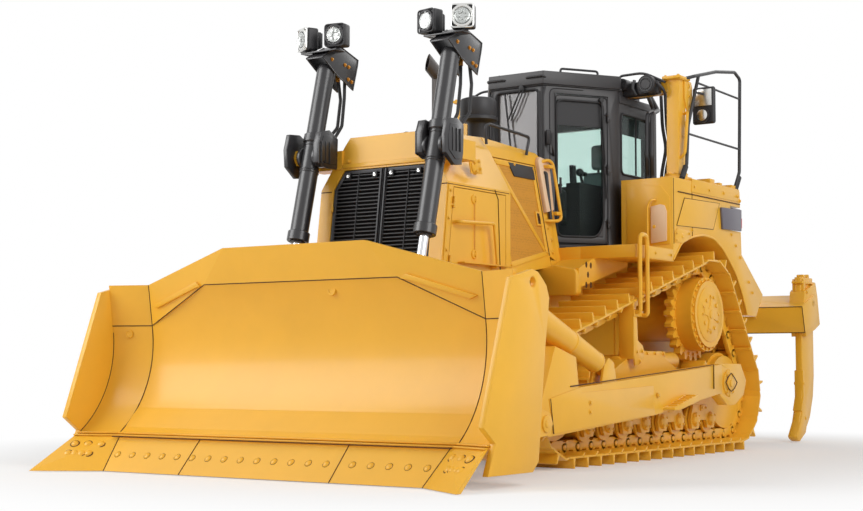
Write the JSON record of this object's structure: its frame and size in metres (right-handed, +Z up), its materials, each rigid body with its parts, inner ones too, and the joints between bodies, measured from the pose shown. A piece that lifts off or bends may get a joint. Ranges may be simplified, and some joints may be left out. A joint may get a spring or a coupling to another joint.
{
  "type": "track-type bulldozer",
  "caption": "Track-type dozer with elevated drive sprockets, semi-U blade on push arms, enclosed cab and a rear ripper.",
  "frame": {"origin": "centre of the bounding box's footprint, on the ground under the tracks", "axes": "+X ahead towards the blade, +Y to the machine's left, +Z up"},
  "size_m": [8.165, 3.944, 3.6747],
  "materials": {
    "yellow_paint": "satin enamel",
    "cab_paint": "satin dark enamel",
    "black_paint": "satin black enamel",
    "track_steel": "worn forged steel",
    "edge_steel": "painted cast steel",
    "chrome_rod": "ground and plated",
    "exhaust_steel": "heat-darkened",
    "glass": "tinted",
    "black_plastic": "moulded",
    "lamp_red": "clear lens",
    "seat_cloth": "woven cloth",
    "hose_rubber": "smooth cover",
    "core_metal": "dull finned core"
  },
  "bodies": {
    "chassis": {"track_left": "track_steel", "roller_frame_left": "yellow_paint", "rollers_left": "track_steel", "track_right": "track_steel", "roller_frame_right": "yellow_paint", "rollers_right": "track_steel", "idlers": "track_steel", "sprockets": "track_steel", "final_drives": "yellow_paint", "main_frame": "yellow_paint", "engine_block": "yellow_paint", "radiator_guard": "yellow_paint", "radiator_core": "core_metal", "hood": "yellow_paint", "exhaust_stack": "exhaust_steel", "precleaner": "black_plastic", "cab_shell": "cab_paint", "cab_roof": "cab_paint", "cab_glass": "glass", "operator_seat": "seat_cloth", "console": "black_plastic", "fender_left": "yellow_paint", "fender_right": "yellow_paint", "tail_lamps": "lamp_red", "fuel_tank": "yellow_paint", "rops": "yellow_paint", "climate_unit": "black_plastic", "handrails": "black_paint", "mirrors": "black_plastic", "ripper_bracket": "yellow_paint"},
    "push_arms": {"push_arms": "yellow_paint"},
    "blade": {"moldboard": "yellow_paint", "blade_end_plates": "yellow_paint", "cutting_edges": "edge_steel", "end_bits": "edge_steel"},
    "tilt_barrels": {"tilt_cylinder_barrels": "black_paint"},
    "tilt_rods": {"tilt_cylinder_rods": "chrome_rod"},
    "lift_barrels": {"lift_cylinder_barrels": "black_paint", "work_lights": "black_plastic", "lift_hoses": "hose_rubber"},
    "lift_rods": {"lift_cylinder_rods": "chrome_rod"},
    "ripper_links": {"ripper_links": "yellow_paint"},
    "ripper": {"ripper_beam": "yellow_paint", "ripper_shanks": "track_steel"},
    "ripper_lift_barrels": {"ripper_lift_barrels": "black_paint"},
    "ripper_lift_rods": {"ripper_lift_rods": "chrome_rod"},
    "ripper_tilt_cylinders": {"ripper_tilt_cylinders": "black_paint"},
    "cab_door_left": {"cab_door_left": "cab_paint", "door_glass_left": "glass"},
    "cab_door_right": {"cab_door_right": "cab_paint", "door_glass_right": "glass"},
    "engine_door_left": {"engine_door_left": "yellow_paint"},
    "engine_door_right": {"engine_door_right": "yellow_paint"},
    "radiator_door_left": {"radiator_door_left": "yellow_paint"},
    "radiator_door_right": {"radiator_door_right": "yellow_paint"},
    "grille_door_left": {"grille_door_left": "yellow_paint"},
    "grille_door_right": {"grille_door_right": "yellow_paint"}
  },
  "joints": [
    {"name": "blade_lift", "type": "hinge", "parent": "chassis", "child": "push_arms", "pos_m": [-0.9925, 0, 0.648], "axis": [0, 1, 0], "range_deg": [-14.6, 7]},
    {"name": "blade_pitch", "type": "hinge", "parent": "push_arms", "child": "blade", "pos_m": [2.3375, 0, 0.38], "axis": [0, -1, 0], "range_deg": [-4, 5]},
    {"name": "tilt_barrel_swing", "type": "hinge", "parent": "push_arms", "child": "tilt_barrels", "pos_m": [1.2575, 0, 0.79], "axis": [0, -1, 0], "range_deg": [-3, 3]},
    {"name": "tilt_rod_slide", "type": "slide", "parent": "tilt_barrels", "child": "tilt_rods", "axis": [0.9406, 0, 0.3395], "range_m": [-0.09, 0.09]},
    {"name": "lift_barrel_swing", "type": "hinge", "parent": "chassis", "child": "lift_barrels", "pos_m": [2.3775, 0, 2.5], "axis": [0, 1, 0], "range_deg": [-7, 4]},
    {"name": "lift_rod_slide", "type": "slide", "parent": "lift_barrels", "child": "lift_rods", "axis": [0.2324, 0, -0.9726], "range_m": [-0.96, 0.46]},
    {"name": "ripper_lift", "type": "hinge", "parent": "chassis", "child": "ripper_links", "pos_m": [-2.3525, 0, 0.86], "axis": [0, 1, 0], "range_deg": [-28.8, 34]},
    {"name": "ripper_beam_pivot", "type": "hinge", "parent": "ripper_links", "child": "ripper", "pos_m": [-3.4325, 0, 1.06], "axis": [0, 1, 0], "range_deg": [-35, 35]},
    {"name": "ripper_tilt_swing", "type": "hinge", "parent": "chassis", "child": "ripper_tilt_cylinders", "pos_m": [-2.3525, 0, 1.31], "axis": [0, 1, 0], "range_deg": [-30, 35]},
    {"name": "ripper_lift_barrel_swing", "type": "hinge", "parent": "chassis", "child": "ripper_lift_barrels", "pos_m": [-2.3525, 0, 0.48], "axis": [0, 1, 0], "range_deg": [-19, 22]},
    {"name": "ripper_lift_rod_slide", "type": "slide", "parent": "ripper_lift_barrels", "child": "ripper_lift_rods", "axis": [-0.7237, 0, 0.6902], "range_m": [-0.3, 0.36]},
    {"name": "cab_door_left_hinge", "type": "hinge", "parent": "chassis", "child": "cab_door_left", "pos_m": [-0.31587, 0.65193, 1.905], "axis": [0, 0, 1], "range_deg": [0, 90]},
    {"name": "engine_door_left_hinge", "type": "hinge", "parent": "chassis", "child": "engine_door_left", "pos_m": [1.3135, 0.619, 1.485], "axis": [0, 0.1863, -0.9825], "range_deg": [0, 100]},
    {"name": "radiator_door_left_hinge", "type": "hinge", "parent": "chassis", "child": "radiator_door_left", "pos_m": [2.23887, 0.644, 1.5], "axis": [0.1246, 0, -0.9922], "range_deg": [0, 95]},
    {"name": "grille_door_left_hinge", "type": "hinge", "parent": "chassis", "child": "grille_door_left", "pos_m": [2.36445, 0.494, 1.36], "axis": [-0.1246, 0, 0.9922], "range_deg": [0, 85]},
    {"name": "cab_door_right_hinge", "type": "hinge", "parent": "chassis", "child": "cab_door_right", "pos_m": [-0.31587, -0.65193, 1.905], "axis": [0, 0, -1], "range_deg": [0, 90]},
    {"name": "engine_door_right_hinge", "type": "hinge", "parent": "chassis", "child": "engine_door_right", "pos_m": [1.3135, -0.619, 1.485], "axis": [0, 0.1863, 0.9825], "range_deg": [0, 100]},
    {"name": "radiator_door_right_hinge", "type": "hinge", "parent": "chassis", "child": "radiator_door_right", "pos_m": [2.23887, -0.644, 1.5], "axis": [-0.1246, 0, 0.9922], "range_deg": [0, 95]},
    {"name": "grille_door_right_hinge", "type": "hinge", "parent": "chassis", "child": "grille_door_right", "pos_m": [2.36445, -0.494, 1.36], "axis": [0.1246, 0, -0.9922], "range_deg": [0, 85]}
  ],
  "couplings": [
    {"joint": "tilt_barrel_swing", "follows": "blade_pitch", "ratio": 0.51},
    {"joint": "tilt_rod_slide", "follows": "blade_pitch", "m_per_rad": -0.7575},
    {"joint": "lift_barrel_swing", "follows": "blade_lift", "ratio": 0.435},
    {"joint": "lift_rod_slide", "follows": "blade_lift", "m_per_rad": 3.74},
    {"joint": "ripper_beam_pivot", "follows": "ripper_lift", "ratio": -1},
    {"joint": "ripper_tilt_swing", "follows": "ripper_lift", "ratio": 1},
    {"joint": "ripper_lift_barrel_swing", "follows": "ripper_lift", "ratio": 0.61},
    {"joint": "ripper_lift_rod_slide", "follows": "ripper_lift", "m_per_rad": 0.58}
  ]
}
